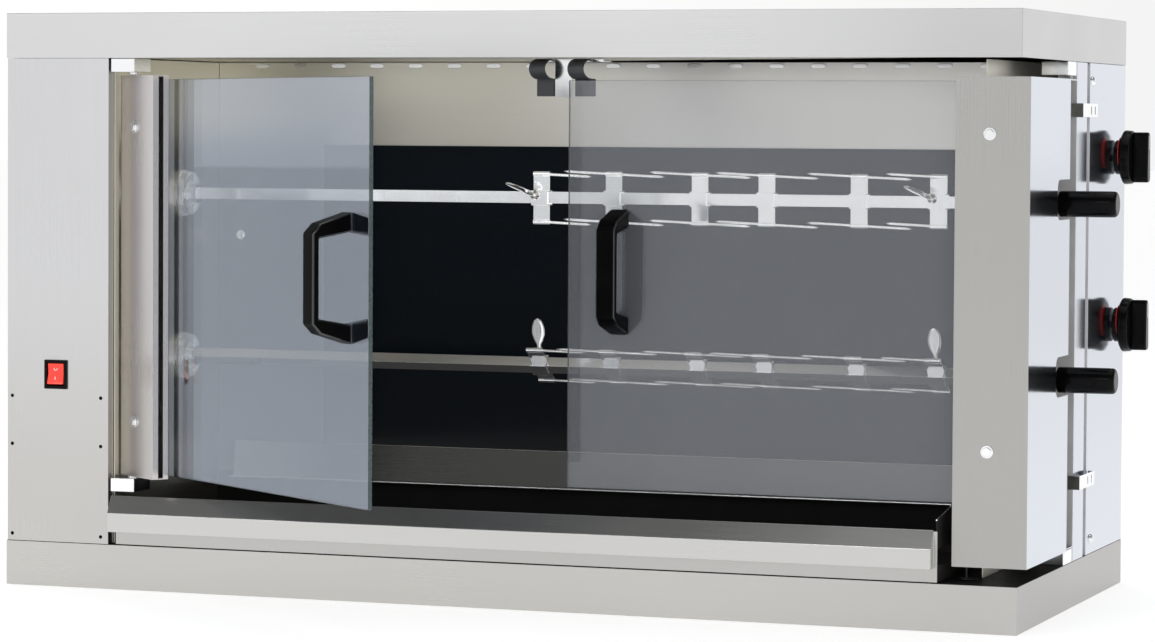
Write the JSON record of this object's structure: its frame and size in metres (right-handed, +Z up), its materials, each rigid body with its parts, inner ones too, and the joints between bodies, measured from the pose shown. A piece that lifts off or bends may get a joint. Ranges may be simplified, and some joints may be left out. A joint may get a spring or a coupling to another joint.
{
  "type": "rotisserie oven",
  "caption": "Counter-top rotisserie oven with two hinged glass doors, two driven spits with prong forks, a slide-out drip tray and side knobs.",
  "frame": {"origin": "centre of the footprint on the underside of the base", "axes": "+X to the right along the spits, -Y out of the front, +Z up"},
  "size_m": [1.144, 0.7542, 0.6],
  "materials": {
    "casing": "satin brushed stainless sheet",
    "door_steel": "brushed stainless channel",
    "liner": "warm-toned stainless lining",
    "bright_steel": "polished",
    "chrome": "mirror chrome wire and bar",
    "ceramic": "glossy black ceramic glass",
    "door_glass": "clear toughened glass",
    "black_plastic": "gloss black",
    "rubber": "dark grey",
    "red_plastic": "translucent red",
    "cast_housing": "grey housing",
    "chain_steel": "oiled dark steel"
  },
  "bodies": {
    "oven": {"base_plinth": "casing", "top_hood": "casing", "control_panel": "casing", "left_side_panel": "casing", "right_side_panel": "casing", "back_cover": "casing", "cavity_left_wall": "liner", "cavity_right_wall": "liner", "cavity_back_wall": "liner", "ceiling_panel": "liner", "lower_reflector": "liner", "hinge_block_left_upper": "bright_steel", "hinge_block_left_lower": "bright_steel", "hinge_block_right_upper": "bright_steel", "hinge_block_right_lower": "bright_steel", "catch_bracket": "bright_steel", "side_clip_upper": "bright_steel", "side_clip_lower": "bright_steel", "bearing_cup_upper": "bright_steel", "bearing_cup_lower": "bright_steel", "ceramic_back_panel": "ceramic", "door_catch_left": "rubber", "door_catch_right": "rubber", "switch_body": "black_plastic", "cable_gland": "black_plastic", "drive_chain": "chain_steel", "gearmotor": "cast_housing", "radiant_heater_upper": "cast_housing", "regulator_upper": "cast_housing", "radiant_heater_lower": "cast_housing", "regulator_lower": "cast_housing"},
    "left_door": {"left_door_frame": "door_steel", "left_door_glass": "door_glass", "left_door_handle": "black_plastic"},
    "right_door": {"right_door_frame": "door_steel", "right_door_glass": "door_glass", "right_door_handle": "black_plastic"},
    "drip_tray": {"drip_tray": "casing"},
    "upper_drive": {"drive_shaft_upper": "bright_steel"},
    "lower_drive": {"drive_shaft_lower": "bright_steel"},
    "motor_drive": {"motor_sprocket": "chain_steel"},
    "upper_spit": {"spit_bar_upper": "chrome", "spit_handle_upper": "black_plastic", "fork_upper_2": "chrome", "fork_upper_3": "chrome", "fork_upper_4": "chrome", "fork_upper_5": "chrome"},
    "lower_spit": {"spit_bar_lower": "chrome", "spit_handle_lower": "black_plastic", "fork_lower_2": "chrome", "fork_lower_3": "chrome", "fork_lower_4": "chrome", "fork_lower_5": "chrome"},
    "upper_left_fork": {"fork_upper_1": "chrome"},
    "upper_right_fork": {"fork_upper_6": "chrome"},
    "lower_left_fork": {"fork_lower_1": "chrome"},
    "lower_right_fork": {"fork_lower_6": "chrome"},
    "upper_knob": {"knob_upper": "black_plastic"},
    "lower_knob": {"knob_lower": "black_plastic"},
    "rocker": {"switch_rocker": "red_plastic"}
  },
  "joints": [
    {"name": "left_door_hinge", "type": "hinge", "parent": "oven", "child": "left_door", "pos_m": [-0.4085, -0.209, 0.3265], "axis": [0, 0, -1], "range_deg": [-37, 60]},
    {"name": "right_door_hinge", "type": "hinge", "parent": "oven", "child": "right_door", "pos_m": [0.539, -0.009, 0.2985], "axis": [0, 0, 1], "range_deg": [0, 90]},
    {"name": "drip_tray_slide", "type": "slide", "parent": "oven", "child": "drip_tray", "axis": [0, -1, 0], "range_m": [0, 0.2]},
    {"name": "upper_drive_spin", "type": "hinge", "parent": "oven", "child": "upper_drive", "pos_m": [-0.425, -0.059, 0.4105], "axis": [1, 0, 0], "continuous": true},
    {"name": "lower_drive_spin", "type": "hinge", "parent": "oven", "child": "lower_drive", "pos_m": [-0.425, -0.059, 0.235], "axis": [1, 0, 0], "continuous": true},
    {"name": "motor_spin", "type": "hinge", "parent": "oven", "child": "motor_drive", "pos_m": [-0.46, 0.027, 0.32275], "axis": [1, 0, 0], "continuous": true},
    {"name": "upper_spit_slide", "type": "slide", "parent": "upper_drive", "child": "upper_spit", "axis": [1, 0, 0], "range_m": [0, 0.021]},
    {"name": "lower_spit_slide", "type": "slide", "parent": "lower_drive", "child": "lower_spit", "axis": [1, 0, 0], "range_m": [0, 0.021]},
    {"name": "upper_left_fork_slide", "type": "slide", "parent": "upper_spit", "child": "upper_left_fork", "axis": [1, 0, 0], "range_m": [-0.3, 0.01]},
    {"name": "upper_right_fork_slide", "type": "slide", "parent": "upper_spit", "child": "upper_right_fork", "axis": [1, 0, 0], "range_m": [-0.01, 0.03]},
    {"name": "lower_left_fork_slide", "type": "slide", "parent": "lower_spit", "child": "lower_left_fork", "axis": [1, 0, 0], "range_m": [-0.3, 0.01]},
    {"name": "lower_right_fork_slide", "type": "slide", "parent": "lower_spit", "child": "lower_right_fork", "axis": [1, 0, 0], "range_m": [-0.01, 0.03]},
    {"name": "upper_knob_turn", "type": "hinge", "parent": "oven", "child": "upper_knob", "pos_m": [0.56, 0.185, 0.4555], "axis": [1, 0, 0], "range_deg": [0, 270]},
    {"name": "lower_knob_turn", "type": "hinge", "parent": "oven", "child": "lower_knob", "pos_m": [0.56, 0.185, 0.279], "axis": [1, 0, 0], "range_deg": [0, 270]},
    {"name": "rocker_tilt", "type": "hinge", "parent": "oven", "child": "rocker", "pos_m": [-0.486, -0.23, 0.2225], "axis": [1, 0, 0], "range_deg": [0, 12]}
  ],
  "couplings": [
    {"joint": "lower_drive_spin", "follows": "upper_drive_spin", "ratio": 1},
    {"joint": "motor_spin", "follows": "upper_drive_spin", "ratio": 1}
  ]
}
